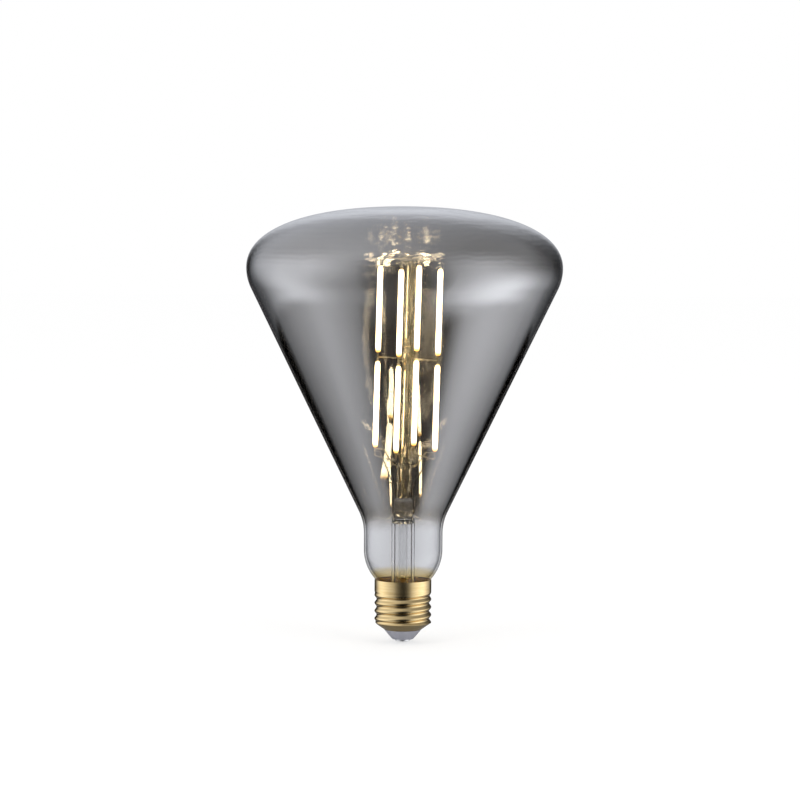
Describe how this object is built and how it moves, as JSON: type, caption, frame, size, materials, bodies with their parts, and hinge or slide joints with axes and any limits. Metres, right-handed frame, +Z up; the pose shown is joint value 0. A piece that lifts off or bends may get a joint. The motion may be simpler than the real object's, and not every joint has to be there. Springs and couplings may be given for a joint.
{
  "type": "filament LED bulb",
  "caption": "Large smoked-glass filament LED bulb with a shallow dome, long conical body, clear neck and brass screw cap.",
  "frame": {"origin": "centre of the contact's end face, at the foot of the cap, on the bulb's axis", "axes": "+Z up the bulb's axis from cap to dome, +X to the right as seen in the picture, -Y towards the camera"},
  "size_m": [0.145, 0.145, 0.2],
  "materials": {
    "smoked_glass": "polished",
    "clear_glass": "polished",
    "phosphor": "matte",
    "bright_wire": "satin",
    "lead_metal": "satin",
    "cap_brass": "polished",
    "insulator_ceramic": "gloss",
    "contact_metal": "satin",
    "cement": "matte",
    "board_resin": "satin",
    "capacitor_sleeve": "gloss",
    "black_moulding": "matte",
    "resistor_body": "satin",
    "wire_sleeve": "satin"
  },
  "bodies": {
    "root": {"glass_envelope": "smoked_glass", "stem": "clear_glass", "exhaust_tube": "clear_glass", "stem_arbor": "clear_glass", "support_post": "clear_glass", "upper_filament_right": "phosphor", "lower_filament_right": "phosphor", "upper_filament_back": "phosphor", "lower_filament_back": "phosphor", "upper_filament_left": "phosphor", "lower_filament_left": "phosphor", "upper_filament_front": "phosphor", "lower_filament_front": "phosphor", "upper_tabs_right": "bright_wire", "lower_tabs_right": "bright_wire", "upper_tabs_back": "bright_wire", "lower_tabs_back": "bright_wire", "upper_tabs_left": "bright_wire", "lower_tabs_left": "bright_wire", "upper_tabs_front": "bright_wire", "lower_tabs_front": "bright_wire", "top_wire_right": "bright_wire", "middle_wire_right": "bright_wire", "bottom_wire_right": "bright_wire", "top_wire_back": "bright_wire", "middle_wire_back": "bright_wire", "bottom_wire_back": "bright_wire", "top_wire_left": "bright_wire", "middle_wire_left": "bright_wire", "bottom_wire_left": "bright_wire", "top_wire_front": "bright_wire", "middle_wire_front": "bright_wire", "bottom_wire_front": "bright_wire", "joining_wire_left": "bright_wire", "joining_wire_right": "bright_wire", "lead_wire_left": "lead_metal", "lead_wire_right": "lead_metal", "screw_shell": "cap_brass", "insulator": "insulator_ceramic", "centre_contact": "contact_metal", "basing_cement": "cement", "driver_board": "board_resin", "smoothing_capacitor": "capacitor_sleeve", "bridge_rectifier": "black_moulding", "current_regulator": "black_moulding", "fuse_resistor": "resistor_body", "live_wire": "wire_sleeve", "return_wire": "wire_sleeve"}
  },
  "joints": []
}
